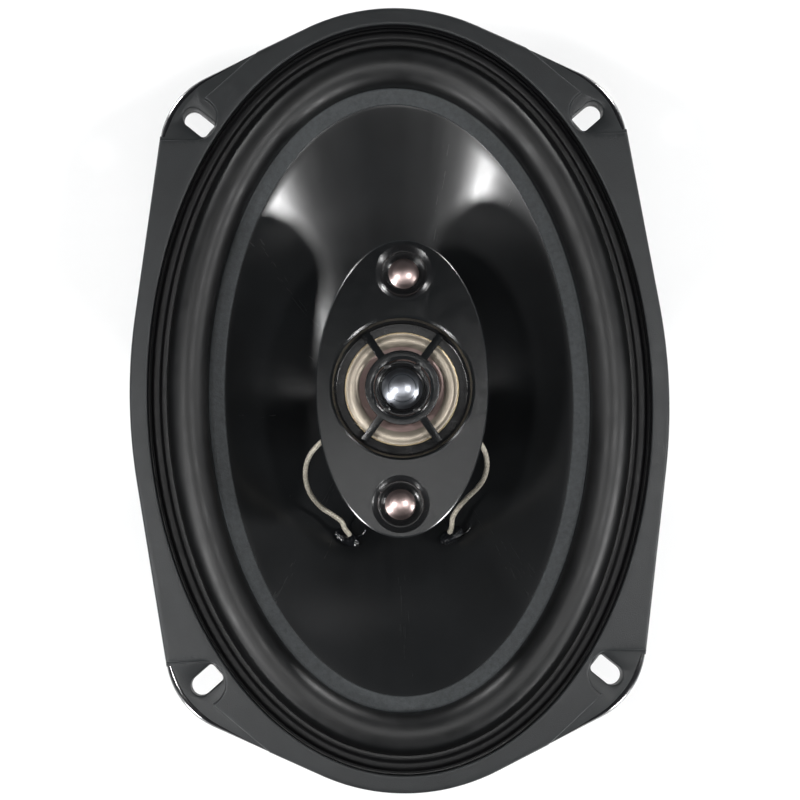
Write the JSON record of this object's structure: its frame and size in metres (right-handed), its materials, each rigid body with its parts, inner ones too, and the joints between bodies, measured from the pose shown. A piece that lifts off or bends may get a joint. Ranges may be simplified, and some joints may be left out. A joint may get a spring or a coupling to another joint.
{
  "type": "coaxial car speaker",
  "caption": "Oval coaxial car loudspeaker: pressed basket on a ring magnet, oval cone in a rubber half-roll surround, and an oval bridge housing with midrange and dome tweeters.",
  "frame": {"origin": "centre of the magnet's back face, on which the speaker lies", "axes": "+Z along the speaker's axis towards the listener, +Y along the oval's long axis, the lead eyelets and terminals on the -Y side"},
  "size_m": [0.1632, 0.2386, 0.1],
  "materials": {
    "trim_plastic": "moulded matte black-grey",
    "basket_paint": "black e-coat on pressed steel",
    "surround_rubber": "satin butyl rubber",
    "cone_polypropylene": "glossy black polypropylene",
    "housing_plastic": "satin dark grey",
    "black_plastic": "black moulding",
    "zinc_steel": "zinc plated",
    "ferrite": "ground ferrite",
    "champagne_film": "champagne metallised film",
    "silver_dome": "silver metallised dome",
    "polyimide": "amber film",
    "copper_wire": "enamelled copper",
    "spider_cloth": "resin treated cloth",
    "lead_glue": "glossy black glue",
    "tinsel": "silver-beige braid",
    "phenolic_board": "brown laminate",
    "terminal_metal": "tin plated",
    "capacitor_sleeve": "blue sleeve"
  },
  "bodies": {
    "frame": {"trim_ring": "trim_plastic", "basket": "basket_paint", "surround": "surround_rubber", "spider": "spider_cloth", "front_lead_left": "tinsel", "front_lead_right": "tinsel", "rear_lead_left": "tinsel", "rear_lead_right": "tinsel", "front_plate": "zinc_steel", "magnet": "ferrite", "back_plate": "zinc_steel", "terminal_board": "phenolic_board", "terminal_board_rivet": "zinc_steel", "terminal_positive": "terminal_metal", "terminal_negative": "terminal_metal", "terminal_rivet_positive": "terminal_metal", "terminal_rivet_negative": "terminal_metal", "bridge_post": "black_plastic", "bridge_washer": "zinc_steel", "bridge_screw": "zinc_steel", "bridge_housing": "housing_plastic", "bridge_back_cover": "black_plastic", "guard_grille": "housing_plastic", "midrange_frame": "black_plastic", "midrange_magnet": "zinc_steel", "tweeter_cup": "black_plastic", "tweeter_magnet": "zinc_steel", "crossover_capacitor_1": "capacitor_sleeve", "crossover_capacitor_2": "capacitor_sleeve", "basket_rivet_1": "zinc_steel", "basket_rivet_2": "zinc_steel", "basket_rivet_3": "zinc_steel", "basket_rivet_4": "zinc_steel", "super_tweeter_cup_top": "black_plastic", "super_tweeter_magnet_top": "zinc_steel", "super_tweeter_cup_bottom": "black_plastic", "super_tweeter_magnet_bottom": "zinc_steel"},
    "woofer": {"cone": "cone_polypropylene", "voice_coil_former": "polyimide", "voice_coil_winding": "copper_wire", "lead_glue_left": "lead_glue", "lead_glue_right": "lead_glue"},
    "midrange": {"midrange_diaphragm": "champagne_film", "midrange_voice_coil": "copper_wire"},
    "tweeter": {"tweeter_dome": "silver_dome", "tweeter_voice_coil": "copper_wire"},
    "super_tweeter_top": {"super_tweeter_dome_top": "champagne_film", "super_tweeter_voice_coil_top": "copper_wire"},
    "super_tweeter_bottom": {"super_tweeter_dome_bottom": "champagne_film", "super_tweeter_voice_coil_bottom": "copper_wire"}
  },
  "joints": [
    {"name": "woofer_travel", "type": "slide", "parent": "frame", "child": "woofer", "axis": [0, 0, 1], "range_m": [-0.005, 0.005], "stiffness_N_per_m": 3500, "deforming": ["surround", "spider", "front_lead_left", "front_lead_right", "rear_lead_left", "rear_lead_right"]},
    {"name": "midrange_travel", "type": "slide", "parent": "frame", "child": "midrange", "axis": [0, 0, 1], "range_m": [-0.0005, 0.0005], "stiffness_N_per_m": 3000},
    {"name": "tweeter_travel", "type": "slide", "parent": "frame", "child": "tweeter", "axis": [0, 0, 1], "range_m": [-0.0002, 0.0002], "stiffness_N_per_m": 3000},
    {"name": "super_tweeter_top_travel", "type": "slide", "parent": "frame", "child": "super_tweeter_top", "axis": [0, 0, 1], "range_m": [-0.0002, 0.0002], "stiffness_N_per_m": 3000},
    {"name": "super_tweeter_bottom_travel", "type": "slide", "parent": "frame", "child": "super_tweeter_bottom", "axis": [0, 0, 1], "range_m": [-0.0002, 0.0002], "stiffness_N_per_m": 3000}
  ]
}
